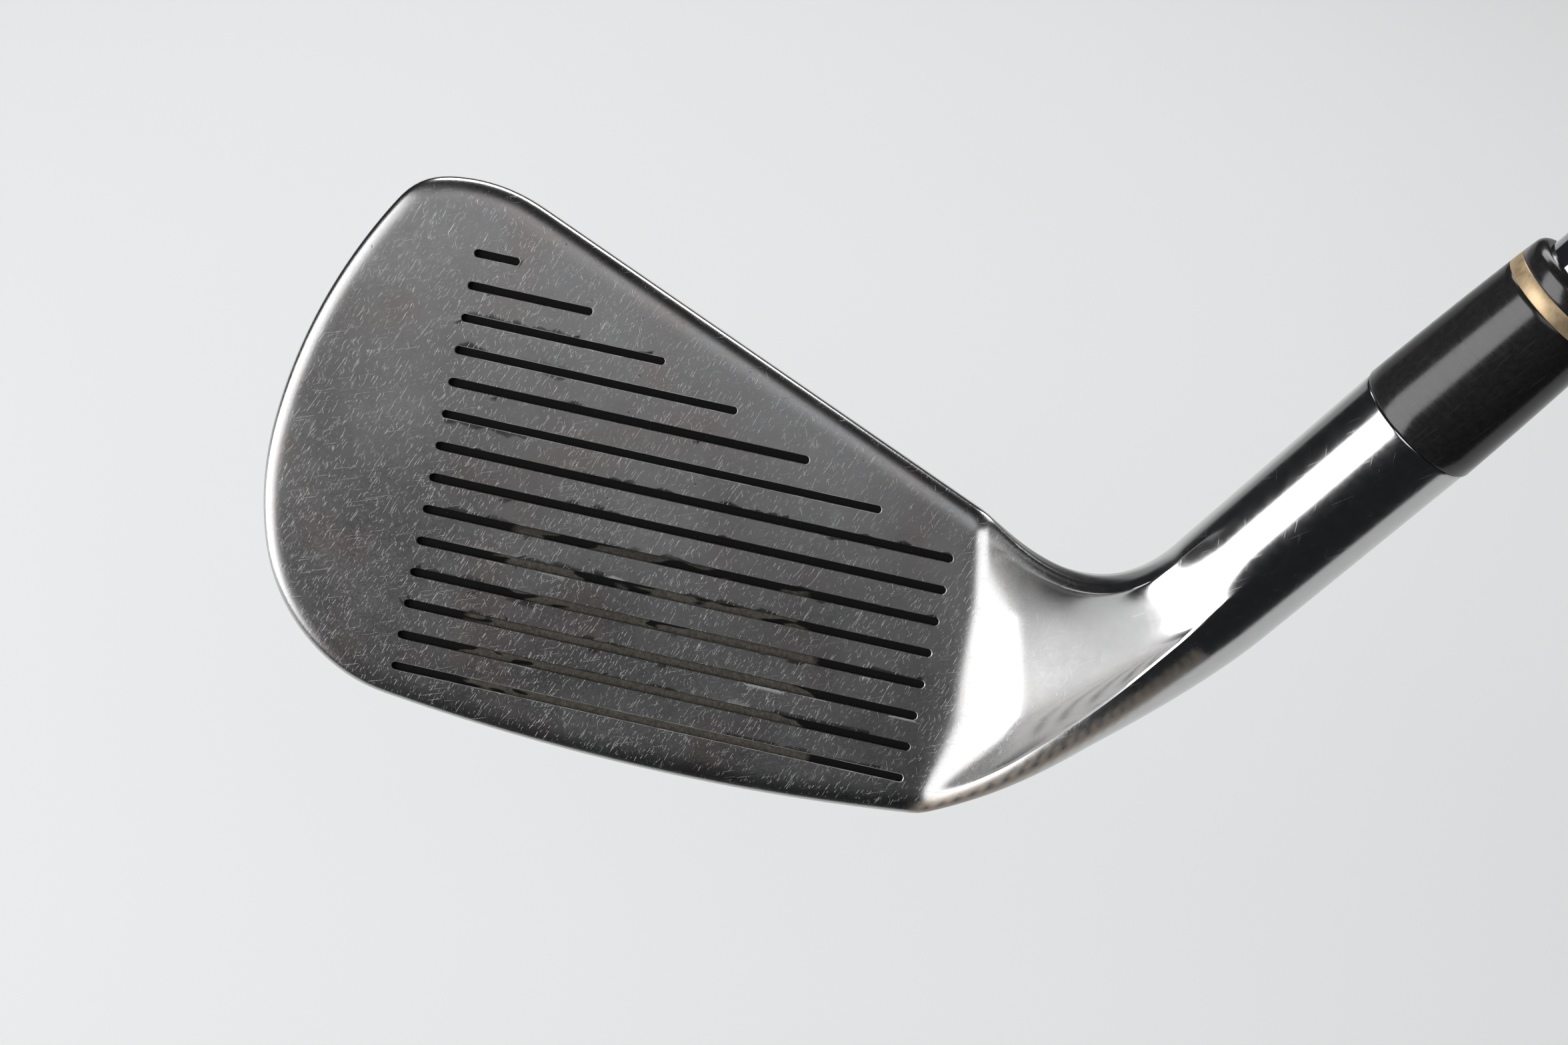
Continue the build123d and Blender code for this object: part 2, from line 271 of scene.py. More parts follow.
def rim_point(n, k):
    """(u, v, depth) on the wall of the blade: n round the outline, k from face to back."""
    base = rim[n]
    back = back_depth(base.y)
    for _ in range(5):
        back = back_depth(soft_max(base.y, sole_height(base.x, back), 1.0))
    if k <= ROUND:
        turn = math.pi / 2 * k / ROUND
        inset, depth = FACE_ROLL * (1 - math.sin(turn)), FACE_EDGE_R * (1 - math.cos(turn))
    elif k >= ROUND + WALL:
        turn = math.pi / 2 * (THICK - k) / ROUND
        inset, depth = BACK_EDGE_R * (1 - math.sin(turn)), back - BACK_EDGE_R * (1 - math.cos(turn))
    else:
        inset = 0
        depth = FACE_EDGE_R + (back - FACE_EDGE_R - BACK_EDGE_R) * (k - ROUND) / WALL
    v = soft_max(base.y, sole_height(base.x, depth), 1.0)
    return Vector((base.x + inset * inward[n].x, v + inset * inward[n].y, depth))


print("thickness top, middle, sole:", [round(back_depth(v), 1) for v in (58, 31, 6)])

# %% [markdown]
# The blade begins as a flat grid. Extruding the grid gives a slab, the slab's side edges
# are divided, and the heel side is opened for the neck. Every vertex then moves to its
# place: the rim follows the outline and the squares between are spread evenly.
# A flat grid keeps the striking face truly flat.
# %% The blade
bpy.ops.mesh.primitive_grid_add(x_subdivisions=ALONG, y_subdivisions=UP, size=1, location=(0.5, 0.5, 0))
head = bpy.context.object
bpy.ops.object.transform_apply(location=True, rotation=False, scale=False)
bpy.ops.object.mode_set(mode="EDIT")
bpy.ops.mesh.select_all(action="SELECT")
bpy.ops.mesh.extrude_region_move(TRANSFORM_OT_translate={"value": (0, 0, 1)})
pick(head, lambda ends: abs(ends[0].z - ends[1].z) > 0.5, "EDGE")
bpy.ops.mesh.subdivide(number_cuts=THICK - 1)
pick(head, lambda ends: min(end.x for end in ends) > 0.999, "FACE")
bpy.ops.mesh.delete(type="FACE")
bpy.ops.object.mode_set(mode="OBJECT")


def rim_number(i, j):
    """Which point of the outline a square's corner on the rim belongs to."""
    if j == UP:
        return ALONG - i
    if i == 0:
        return ALONG + UP - j
    return ALONG + UP + i


def spread_over(side):
    """Corners of the squares inside the rim, blended from its four sides."""
    def edge(i, j):
        return rim_point(rim_number(i, j), side)

    low, high = edge(ALONG, 0), edge(ALONG, UP)
    corners = {}
    for i in range(ALONG + 1):
        for j in range(UP + 1):
            a, b = i / ALONG, j / UP
            across = (1 - b) * edge(i, 0) + b * edge(i, UP)
            upward = (1 - a) * edge(0, j) + a * low.lerp(high, b)
            shared = (1 - a) * edge(0, 0).lerp(edge(0, UP), b) + a * low.lerp(high, b)
            corners[i, j] = across + upward - shared
    return corners


front, rear = spread_over(0), spread_over(THICK)
for vertex in head.data.vertices:
    i, j, k = (round(c * n) for c, n in zip(vertex.co, (ALONG, UP, THICK)))
    if 0 < k < THICK:
        spot = rim_point(rim_number(i, j), k)
    elif k == 0:
        spot = front[i, j]
    else:
        spot = rear[i, j]
        if i > 0 and 0 < j < UP:
            spot.z = back_depth(spot.y)
    vertex.co = place(*spot) * MM
print("blade", len(head.data.vertices), "vertices")

# %% [markdown]
# At the heel the flat blade has to become a round hosel. The open end is extruded ring by
# ring. Each ring lies in a plane that has turned a little further about the crotch, and
# its shape is part blade and part circle. On the face side the change starts gently, and
# that makes the hollow that catches the light beside the grooves. The real hollow is
# ground smooth by hand; here each point is averaged with its neighbours, many times over.
# %% The neck
HOSEL_R = 6.45
FERRULE_BASE_R = 6.6
HOSEL_TOP = (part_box("ferrule_body")[0].x / MM + FERRULE_BASE_R * math.sin(LIE)) / math.cos(LIE)
CROTCH_Z = 55.0
HASTE = 2.4
CROTCH_DIP = 0.4
HEEL_SWELL = 2.0
first_ring, soft, angles = [], [], []


def add_to_ring(spot, gentle, degrees):
    """One point of the open heel end, and where it belongs on the round hosel."""
    first_ring.append(spot)
    soft.append(gentle)
    angles.append(math.radians(degrees))


LEADING, TOP_FRONT, TOP_BACK, TRAILING = 165, 105, 75, -60
for j in range(UP + 1):
    b = j / UP
    add_to_ring(front[ALONG, j], min(1, 5 * b * (1 - b)), LEADING + (TOP_FRONT - LEADING) * b)
for k in range(1, THICK):
    add_to_ring(rim_point(0, k), 0.15, TOP_FRONT + (TOP_BACK - TOP_FRONT) * k / THICK)
for j in range(UP, -1, -1):
    add_to_ring(rear[ALONG, j], 0.3, TRAILING + (TOP_BACK - TRAILING) * j / UP)
for k in range(THICK - 1, 0, -1):
    add_to_ring(rim_point(len(rim) - 1, k), 0.0,
                TRAILING - (360 - LEADING + TRAILING) * (1 - k / THICK))
flat = [place(*spot) for spot in first_ring]
local = [(spot.y, spot.z - CROTCH_Z) for spot in flat]
heights = [h for y, h in local]
middle = (max(heights) + min(heights)) / 2
half_tall = (max(heights) - min(heights)) / 2
axis_distance = CROTCH_Z * math.cos(LIE) - HEEL_X * math.sin(LIE)


def neck_ring(turn):
    """Points of the ring whose plane has made this share of its turn."""
    points = []
    wave = math.sin(math.pi * turn)
    for (y, h), angle, gentle in zip(local, angles, soft):
        share = 1 - (1 - turn**(1 + 0.3 * gentle))**(HASTE - 0.3 * gentle)
        y = y * (1 - share) + HOSEL_R * math.cos(angle) * share
        h = h * (1 - share) + (HOSEL_R * math.sin(angle) - axis_distance) * share
        rise = (h - middle) / half_tall
        h -= wave * rise * (CROTCH_DIP if rise > 0 else -HEEL_SWELL)
        points.append(Vector((HEEL_X - h * math.sin(turn * LIE), y,
                              CROTCH_Z + h * math.cos(turn * LIE))))
    return points


def ramp(value, low, high):
    """0 below low, 1 above high, smooth between."""
    share = min(max((value - low) / (high - low), 0), 1)
    return share * share * (3 - 2 * share)


def hosel_ring(along, radius):
    """Circle about the shaft's axis with its points where the neck's are."""
    across = Vector((-AXIS.z, 0, AXIS.x))
    return [AXIS * along + radius * (math.cos(a) * Vector((0, 1, 0)) + math.sin(a) * across)
            for a in angles]


NECK_RINGS = 26
rings = [neck_ring((n / NECK_RINGS)**1.15) for n in range(1, NECK_RINGS + 1)]
BORE_R = 4.64
BORE_DEPTH = 31
for along in (49.2, 50.2, 51.3, 52.6, 54, 57, 62, 67, 71, 73, HOSEL_TOP - 0.22):
    rings.append(hosel_ring(along, HOSEL_R))
rings += [hosel_ring(HOSEL_TOP - 0.06, HOSEL_R - 0.05), hosel_ring(HOSEL_TOP, HOSEL_R - 0.2),
          hosel_ring(HOSEL_TOP, BORE_R + 0.32), hosel_ring(HOSEL_TOP - 0.3, BORE_R),
          hosel_ring(HOSEL_TOP - BORE_DEPTH + 0.4, BORE_R),
          hosel_ring(HOSEL_TOP - BORE_DEPTH, BORE_R - 0.3)]
SMOOTH_FROM, SMOOTH_PAST = 5, 5          # rings left alone at the blade, and taken in past the neck
SMOOTHINGS = 70
hollow = rings[SMOOTH_FROM:NECK_RINGS + SMOOTH_PAST]
for _ in range(SMOOTHINGS):
    for lower, ring, upper in zip(hollow, hollow[1:], hollow[2:]):
        for n in range(1, UP):
            ring[n] = ring[n] / 2 + (lower[n] + upper[n] + ring[n - 1] + ring[n + 1]) / 8
start_edit(head)
bpy.ops.mesh.select_mode(type="EDGE")
bpy.ops.mesh.select_non_manifold()


def key(co):
    """A place in mm, rounded so that it can be looked up."""
    return tuple(round(c / MM, 3) for c in co)


last = {key(spot * MM): n for n, spot in enumerate(flat)}
for ring in rings:
    bpy.ops.mesh.extrude_region_move()
    bpy.ops.object.mode_set(mode="OBJECT")
    for vertex in head.data.vertices:
        if vertex.select:
            vertex.co = ring[last[key(vertex.co)]] * MM
    last = {key(spot * MM): n for n, spot in enumerate(ring)}
    bpy.ops.object.mode_set(mode="EDIT")
bpy.ops.mesh.edge_face_add()
finish_edit(head, "forged_head", 40)
ridge = [flat[-2]] + [ring[-2] for ring in rings[:NECK_RINGS - 4]]
smooth = head.modifiers.new("even curves", "SUBSURF")
smooth.levels = smooth.render_levels = 1
bpy.ops.object.modifier_apply(modifier=smooth.name)
print("head", len(head.data.polygons), "faces")

# %% [markdown]
# The grooves are cut with a round-ended milling cutter, so each is a slot with round
# ends. Play wears a thin bright bevel along its lips. One plug is turned with that bevel
# on it, stretched to length for each groove, and all of them are cut out together.
# %% The grooves
GROOVE_R = 0.45
GROOVE_DEPTH = 0.5
LIP = 0.07
GROOVES, FULL_GROOVES = 14, 8
GROOVE_LENGTH, SHORTENING = 58.5, 8.9
LOWEST_GROOVE, GROOVE_SPACING = 5.65, 3.6


def groove_length(row):
    """Length of a groove: full for the lower rows, shorter by even steps above them."""
    return GROOVE_LENGTH - SHORTENING * max(0, row - FULL_GROOVES + 1)


plugs = []
for row in range(GROOVES):
    profile = [(-GROOVE_DEPTH, GROOVE_R - 0.06), (-GROOVE_DEPTH + 0.06, GROOVE_R),
               (-LIP, GROOVE_R), (0, GROOVE_R + LIP), (0.4, GROOVE_R + 0.4 + LIP)]
    plug = turned("plug", profile, sides=24)
    start_edit(plug)
    pick(plug, lambda ends: ends[0].z > 0.0003)
    bpy.ops.mesh.edge_face_add()
    pick(plug, lambda ends: ends[0].x > 0)
    bpy.ops.transform.translate(value=((groove_length(row) - 2 * GROOVE_R) * MM, 0, 0))
    finish_edit(plug, "plug")
    spot = place(GROOVE_R, LOWEST_GROOVE + GROOVE_SPACING * row, 0) * MM
    plug.data.transform(Matrix.Translation(spot) @ Matrix.Rotation(math.pi / 2 - LOFT, 4, "X"))
    plugs.append(plug)
bpy.ops.object.select_all(action="DESELECT")
for plug in plugs:
    plug.select_set(True)
bpy.context.view_layer.objects.active = plugs[0]
bpy.ops.object.join()
cutter = bpy.context.object
bpy.ops.object.select_all(action="DESELECT")
head.select_set(True)
bpy.context.view_layer.objects.active = head
cut = head.modifiers.new("grooves", "BOOLEAN")
cut.object = cutter
cut.solver = "EXACT"
bpy.ops.object.modifier_apply(modifier=cut.name)
bpy.data.objects.remove(cutter)
bpy.ops.object.shade_smooth_by_angle(angle=math.radians(30))
print("head with grooves", len(head.data.polygons), "faces")

# %% [markdown]
# The ferrule is a black plastic collar that hides the step between the hosel and the
# shaft. It stands a hair proud of the steel, narrows upwards and carries one thin gold
# ring. Its edges are rounded, since moulded plastic never has a knife edge.
# %% The ferrule
FERRULE_IN = 4.53
base_r, end_r, ring_at, ring_long, cap_long = FERRULE_BASE_R, 5.75, 16.6, 1.5, 2.2
whole = ring_at + ring_long + cap_long
cap_round = 0.9


def ferrule_r(rise):
    """Outer radius at a distance above the hosel, very slightly barrelled."""
    taper = base_r + (end_r - base_r) * rise / whole
    return taper + 0.1 * math.sin(math.pi * rise / whole) - 0.02


body = [(0, FERRULE_IN), (0, base_r - 0.3), (0.08, base_r - 0.1), (0.3, ferrule_r(0.3))]
body += [(rise, ferrule_r(rise)) for rise in (2, 4, 6, 8, 10, 12, 14, 16)]
body += [(ring_at - 0.12, ferrule_r(ring_at)), (ring_at, ferrule_r(ring_at) - 0.1),
         (ring_at, FERRULE_IN)]
ring = [(ring_at, FERRULE_IN), (ring_at, ferrule_r(ring_at) - 0.06),
        (ring_at + 0.1, ferrule_r(ring_at)),
        (ring_at + ring_long - 0.1, ferrule_r(ring_at + ring_long)),
        (ring_at + ring_long, ferrule_r(ring_at + ring_long) - 0.06), (ring_at + ring_long, FERRULE_IN)]
cap_at = ring_at + ring_long
cap = [(cap_at, FERRULE_IN), (cap_at, ferrule_r(cap_at) - 0.1), (cap_at + 0.12, ferrule_r(cap_at))]
for step in range(7):
    turn = math.pi / 2 * step / 6
    cap.append((whole - cap_round + cap_round * math.sin(turn),
                end_r - cap_round * (1 - math.cos(turn))))
cap.append((whole, FERRULE_IN))


def ferrule_piece(name, stations, node):
    """Turn one length of the ferrule and let it stand for its CAD node."""
    raised = [(HOSEL_TOP + rise, radius) for rise, radius in stations]
    obj = stand_on_axis(turned(name, raised, hollow=True, angle=50))
    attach(obj, "root")
    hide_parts(node)
    return obj


ferrule_body = ferrule_piece("black_ferrule", body, "ferrule_body")
ferrule_ring = ferrule_piece("gold_ring", ring, "ferrule_ring")
ferrule_cap = ferrule_piece("ferrule_end", cap, "ferrule_cap")
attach(head, "root")
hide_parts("head")
print("ferrule", round(whole, 1), "mm long, from", round(HOSEL_TOP, 1), "mm up the shaft")


# %% [markdown]
# The shaft is a steel tube drawn in steps: each step is a short cone between two parallel
# lengths. It is turned as one closed tube, with its bore, so its open tip stays real.
# %% The shaft
TIP_R, BUTT_R, SHAFT_WALL = 4.51, 7.62, 0.4
shaft_tip = HOSEL_TOP - 29.8
shaft_butt = 948.5
steps = 12
FIRST_STEP, LAST_STEP = 180, 668.95      # along the shaft
STEPPED_R = 4.7                          # radius below the first step
outside = [(shaft_tip, TIP_R - 0.1), (shaft_tip + 0.1, TIP_R), (HOSEL_TOP + 30, TIP_R)]
for step in range(steps):
    at = FIRST_STEP + (LAST_STEP - FIRST_STEP) * step / (steps - 1)
    small = STEPPED_R + (BUTT_R - STEPPED_R) * step / steps
    large = STEPPED_R + (BUTT_R - STEPPED_R) * (step + 1) / steps
    outside += [(at - 0.3, small), (at, small + 0.01), (at + 1.2, large - 0.01), (at + 1.5, large)]
outside.append((shaft_butt, BUTT_R))
tube = outside + [(along, radius - SHAFT_WALL) for along, radius in reversed(outside)]
shaft = stand_on_axis(turned("stepped_shaft", tube, hollow=True, angle=20))
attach(shaft, "root")
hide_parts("shaft")
print("shaft", round(shaft_butt - shaft_tip), "mm long with", steps, "steps")

# %% [markdown]
# The grip is a rubber sleeve pushed over tape. Its skin is moulded with rings near the
# mouth and near the cap, and between them with rows of small dimples that drain water
# and let the hand feel its place. The rings are turned; the dimples are in the finish.
# %% The grip
GRIP_MOUTH_R, GRIP_BUTT_R = 8.6, 13.28
SLEEVE_END = shaft_butt
CAP_LONG, GRIP_LONG = 4, 267
grip_mouth = SLEEVE_END + CAP_LONG - GRIP_LONG


def grip_r(along):
    """Outer radius of the sleeve: a straight taper."""
    swell = (GRIP_BUTT_R - GRIP_MOUTH_R) * (along - grip_mouth) / (SLEEVE_END - grip_mouth)
    return GRIP_MOUTH_R + swell


sleeve = [(grip_mouth, BUTT_R), (grip_mouth, GRIP_MOUTH_R - 0.5),
          (grip_mouth + 0.2, GRIP_MOUTH_R - 0.2), (grip_mouth + 0.6, GRIP_MOUTH_R)]
mouth_rings = [grip_mouth + 5 + 3.2 * n for n in range(5)]
cap_rings = [SLEEVE_END - 20 + 3.6 * n for n in range(5)]
for centre in mouth_rings + cap_rings:
    for shift, sink in ((-0.7, 0), (-0.45, 0.25), (-0.2, 0.34), (0.2, 0.34), (0.45, 0.25), (0.7, 0)):
        sleeve.append((centre + shift, grip_r(centre + shift) - sink))
sleeve += [(SLEEVE_END - 0.2, grip_r(SLEEVE_END)), (SLEEVE_END, grip_r(SLEEVE_END) - 0.15),
           (SLEEVE_END, BUTT_R + 0.2), (grip_mouth + 6, BUTT_R + 0.2), (grip_mouth + 6, BUTT_R)]
grip = stand_on_axis(turned("rubber_sleeve", sleeve, sides=128, hollow=True, angle=40))
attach(grip, "root")
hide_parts("grip_sleeve")
end = [(SLEEVE_END, 1.5), (SLEEVE_END, GRIP_BUTT_R - 0.15), (SLEEVE_END + 0.2, GRIP_BUTT_R)]
for n in range(9):
    turn = math.pi / 2 * n / 8
    end.append((SLEEVE_END + 1.6 + 2.4 * math.sin(turn), GRIP_BUTT_R - 2.4 * (1 - math.cos(turn))))
end += [(SLEEVE_END + 4, 8.6), (SLEEVE_END + 3.6, 8.2), (SLEEVE_END + 3.6, 7.2), (SLEEVE_END + 4, 6.8),
        (SLEEVE_END + 4, 2.1), (SLEEVE_END + 3.7, 1.6), (SLEEVE_END + 3.4, 1.5)]
grip_end = stand_on_axis(turned("grip_end", end, sides=128, hollow=True, angle=40))
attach(grip_end, "root")
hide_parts("grip_cap")
print("grip", GRIP_LONG, "mm long with", len(mouth_rings + cap_rings), "moulded rings")

# %% [markdown]
# Finishes are node graphs. A short class keeps each graph readable: it adds a node, sets
# its numbers and links whatever is handed to it. All patterns live in object space in
# metres, so a scratch 4 mm long is written as 4 mm.
# %% Finish helpers


class Finish:
    """A material under construction."""

    def __init__(self, name):
        self.material = bpy.data.materials.new(name)
        self.material.use_nodes = True
        self.tree = self.material.node_tree
        self.surface = self.tree.nodes["Principled BSDF"]
        self.object_space = self.add("ShaderNodeTexCoord").outputs["Object"]

    def add(self, kind, sockets=None, **settings):
        """Add a node and fill its sockets by name."""
        node = self.tree.nodes.new(kind)
        for name, value in settings.items():
            setattr(node, name, value)
        for name, value in (sockets or {}).items():
            self.set(node.inputs[name], value)
        return node

    def set(self, socket, value):
        """Link a socket to another, or give it a number."""
        if isinstance(value, bpy.types.NodeSocket):
            self.tree.links.new(value, socket)
        else:
            socket.default_value = value

    def give(self, **values):
        """Set the surface's own inputs; an underscore stands for a space."""
        for name, value in values.items():
            self.set(self.surface.inputs[name.replace("_", " ")], value)

    def turned_space(self, rotation, source=None):
        """Coordinates turned by angles about X, Y and Z."""
        node = self.add("ShaderNodeMapping", {"Vector": source or self.object_space,
                                              "Rotation": rotation})
        return node.outputs["Vector"]

    def noise(self, size, source=None, detail=3.0, roughness=0.55):
        """Cloudy pattern whose blotches are about this size."""
        node = self.add("ShaderNodeTexNoise", {"Vector": source or self.object_space,
                                               "Scale": 1 / size, "Detail": detail,
                                               "Roughness": roughness})
        return node.outputs["Fac"]

    def band(self, value, low, high, start=0.0, end=1.0):
        """Stretch a value so that low..high becomes start..end, cut off outside."""
        node = self.add("ShaderNodeMapRange", {"Value": value, "From Min": low, "From Max": high,
                                               "To Min": start, "To Max": end})
        return node.outputs["Result"]

    def math(self, operation, a, b=0.0):
        """One sum on two values."""
        node = self.add("ShaderNodeMath", operation=operation)
        self.set(node.inputs[0], a)
        self.set(node.inputs[1], b)
        return node.outputs["Value"]

    def mix(self, share, a, b):
        """Blend two colours."""
        node = self.add("ShaderNodeMix", data_type="RGBA")
        self.set(node.inputs["Factor"], share)
        self.set(node.inputs["A"], a)
        self.set(node.inputs["B"], b)
        return node.outputs["Result"]

    def scratches(self, source, angle, long, wide, rare, seed=0.0):
        """Thin streaks of a length and width, lying at an angle; rare is the share left out."""
        lined = self.turned_space((0, 0, math.radians(-angle)), source=source)
        stretched = self.add("ShaderNodeMapping", {"Vector": lined, "Location": (seed, seed * 2, seed),
                                                   "Scale": (1 / long, 1 / wide, 1 / long)})
        value = self.noise(1.0, stretched.outputs["Vector"], detail=0.0)
        return self.band(value, rare, rare + 0.05)

    def bumps(self, height, distance, strength=1.0):
        """Surface direction bent by a height pattern this deep."""
        node = self.add("ShaderNodeBump", {"Height": height, "Strength": strength})
        node.inputs["Distance"].default_value = distance
        return node.outputs["Normal"]


def grey(level, warm=0.0):
    """A near-neutral colour; warm leans it towards brown."""
    return (level * (1 + warm), level, level * (1 - warm), 1)


# %% [markdown]
# The head's steel is one material with two characters. The struck face is dulled to a
# dark satin with brownish blotches, pits and hundreds of short scratches. From the heel
# on it is still polished. A painted attribute, "polish", says how far a place is from
# the face: 0 on the face and 1 where the buffing wheel has reached. A second one,
# "rubbed", marks the ridge under the heel that rests on the ground and wears matt.
# %% Where the head is polished


def on_face(co):
    """(u, v, depth) in mm of a point of the head."""
    local = co / MM - Vector((GROOVE_X, *FACE_FOOT.yz))
    return local.x, local.dot(UP_FACE), -local.dot(FACE_OUT)


polish = head.data.attributes.new("polish", "FLOAT", "POINT")
rubbed = head.data.attributes.new("rubbed", "FLOAT", "POINT")
for n, vertex in enumerate(head.data.vertices):
    u, v, depth = on_face(vertex.co)
    off_face = depth > 0.02 and (u < -0.2 or u > 59 or v > 53 or v < 5 or depth > 0.6)
    if off_face:
        polish.data[n].value = ramp(depth, 0.0, 1.0)
    if u > 55 and depth < 12:
        near = min((vertex.co / MM - spot).length for spot in ridge)
        rubbed.data[n].value = 1 - ramp(near, 0.3, 1.5)
    if u > 57:
        polish.data[n].value = max(polish.data[n].value, ramp(u, 58.5, 78))
head.data.materials.clear()
for name in ("steel", "groove", "lip"):
    head.data.materials.append(bpy.data.materials.new(name))
for polygon in head.data.polygons:
    u, v, depth = on_face(polygon.center)
    facing = polygon.normal.dot(FACE_OUT)
    row = round((v - LOWEST_GROOVE) / GROOVE_SPACING)
    off_row = abs(v - LOWEST_GROOVE - GROOVE_SPACING * row)
    inside = (0.005 < depth < 0.6 and 0 <= row < GROOVES and off_row < GROOVE_R + LIP
              and -LIP < u < groove_length(row) + LIP)
    if inside and depth < 0.069 and 0.2 < facing < 0.98:
        polygon.material_index = 2
    elif inside:
        polygon.material_index = 1
print("groove faces", sum(p.material_index == 1 for p in head.data.polygons),
      "lip faces", sum(p.material_index == 2 for p in head.data.polygons))

# %% [markdown]
# Metal shows its surroundings, so its own colour is only a tint. What tells a worn face
# from a polished neck is roughness: the face spreads the light wide and goes dark, while
# the neck mirrors it. Scratches are narrow streaks of cut steel. Their brightness is a
# painted highlight: a light colour stands in for the light they would catch from the side.
# %% The head's steel


def face_space(finish):
    """Object space turned so that X runs along the grooves and Y up the face."""
    return finish.turned_space((-(math.pi / 2 - LOFT), 0, 0))


steel = Finish("forged steel")
face_xy = face_space(steel)
polished = steel.add("ShaderNodeAttribute", attribute_name="polish").outputs["Fac"]
satin = steel.math("SUBTRACT", 1.0, polished)
cloud = steel.noise(16 * MM, face_xy, 5.0, 0.6)
fine = steel.noise(1.3 * MM, face_xy, 6.0, 0.7)
grain = steel.noise(0.25 * MM, face_xy, 3.0, 0.8)
brown = steel.noise(11 * MM, steel.turned_space((0.4, 0.2, 1.0), source=face_xy), 3.0, 0.5)
tone = steel.mix(steel.band(cloud, 0.3, 0.7), grey(0.19), grey(0.28))
tone = steel.mix(steel.band(fine, 0.35, 0.75), tone, grey(0.23, 0.01))
tone = steel.mix(steel.band(brown, 0.5, 0.72, 0, 0.5), tone, (0.235, 0.175, 0.16, 1))
long_scratches = steel.scratches(face_xy, 72, 1.5 * MM, 0.055 * MM, 0.775)
upright = steel.scratches(face_xy, 62, 0.8 * MM, 0.045 * MM, 0.78, 3.1)
crossing = steel.scratches(face_xy, 112, 1.4 * MM, 0.045 * MM, 0.8, 7.7)
swirl = steel.scratches(face_xy, 20, 3.0 * MM, 0.05 * MM, 0.80, 5.2)
deep = steel.scratches(face_xy, 66, 2.4 * MM, 0.07 * MM, 0.82, 2.4)
long_scratches = steel.math("MAXIMUM", long_scratches, deep)
scratches_and_glints = steel.math("MAXIMUM", steel.math("MAXIMUM", long_scratches, upright),
                   steel.math("MAXIMUM", crossing, swirl))
patchy = steel.band(steel.noise(7 * MM, face_xy, 2.0), 0.3, 0.75, 0.35, 1.0)
scratches_and_glints = steel.math("MULTIPLY", scratches_and_glints, patchy)
cells = steel.add("ShaderNodeTexVoronoi", {"Vector": face_xy, "Scale": 1 / (1.6 * MM)})
pitted = steel.band(steel.noise(5 * MM, face_xy, 1.0), 0.5, 0.6)
pits = steel.math("MULTIPLY", steel.band(cells.outputs["Distance"], 0.1, 0.04), pitted)
# Scratches lightened towards near white. The scratches are real; the brightness is a painted highlight
# for the light they would catch.
tone = steel.mix(steel.math("MULTIPLY", scratches_and_glints, 0.55), tone, grey(0.80))
tone = steel.mix(steel.math("MULTIPLY", pits, 0.6), tone, grey(0.12, 0.1))
bright = steel.mix(steel.band(fine, 0.3, 0.8), grey(0.52), grey(0.58, 0.005))
hair = steel.scratches(face_xy, 40, 4 * MM, 0.05 * MM, 0.78, 1.3)
cross_hair = steel.scratches(face_xy, 95, 2.5 * MM, 0.05 * MM, 0.8, 9.3)
hairs = steel.math("MAXIMUM", hair, cross_hair)
bright = steel.mix(steel.math("MULTIPLY", hairs, 0.15), bright, grey(0.4))
ridge_worn = steel.add("ShaderNodeAttribute", attribute_name="rubbed").outputs["Fac"]
ridge_worn = steel.math("MULTIPLY", ridge_worn, steel.band(fine, 0.25, 0.5, 0.6, 1.0))
colour = steel.mix(ridge_worn, steel.mix(polished, tone, bright), (0.50, 0.43, 0.36, 1))
steel.give(Base_Color=colour, Metallic=1.0)
dull = steel.math("ADD", steel.band(cloud, 0.25, 0.75, 0.28, 0.37),
                  steel.band(grain, 0.3, 0.7, -0.05, 0.05))
dull = steel.math("SUBTRACT", dull, steel.math("MULTIPLY", scratches_and_glints, 0.1))
shine = steel.math("ADD", steel.band(fine, 0.3, 0.75, 0.14, 0.20),
                   steel.math("MULTIPLY", hairs, 0.10))
rough = steel.add("ShaderNodeMix", data_type="FLOAT")
steel.set(rough.inputs["Factor"], polished)
steel.set(rough.inputs["A"], dull)
steel.set(rough.inputs["B"], shine)
matt = steel.math("MULTIPLY", ridge_worn, 0.28)
steel.give(Roughness=steel.math("ADD", rough.outputs["Result"], matt))
height = steel.math("ADD", steel.math("MULTIPLY", grain, steel.math("MULTIPLY", satin, 0.3)),
                    steel.math("MULTIPLY", fine, steel.math("MULTIPLY", satin, 0.3)))
for sunk, where, amount in ((scratches_and_glints, satin, 0.5), (pits, satin, 0.8), (hairs, polished, 0.08)):
    sunk = steel.math("MULTIPLY", sunk, steel.math("MULTIPLY", where, amount))
    height = steel.math("SUBTRACT", height, sunk)
steel.give(Normal=steel.bumps(height, 0.02 * MM, 0.8))
head.data.materials[0] = steel.material
print("steel finish", len(steel.tree.nodes), "nodes")

# %% [markdown]
# Earth packs into the lower grooves over the middle of the face, where the ball is
# struck, and leaves them bare near the ends. So the dirt is masked three ways: along
# the groove, up the face, and by patches. Where there is no dirt, the groove floor is
# painted near black. That is painted shade in the grooves, not a colour of the steel.
# %% Dirt and painted shade in the grooves
STRIKE_U = 27                # along the grooves, where the ball is usually met
dirt_and_shade = Finish("groove floor")
face_xy = face_space(dirt_and_shade)
parts = dirt_and_shade.add("ShaderNodeSeparateXYZ", {"Vector": face_xy})
middle_x = (GROOVE_X + STRIKE_U) * MM
foot_up = UP_FACE.dot(FACE_FOOT) * MM
off_middle = dirt_and_shade.math("ABSOLUTE", dirt_and_shade.math("SUBTRACT", parts.outputs["X"], middle_x))
along = dirt_and_shade.band(off_middle, 16 * MM, 24 * MM, 1.0, 0.0)
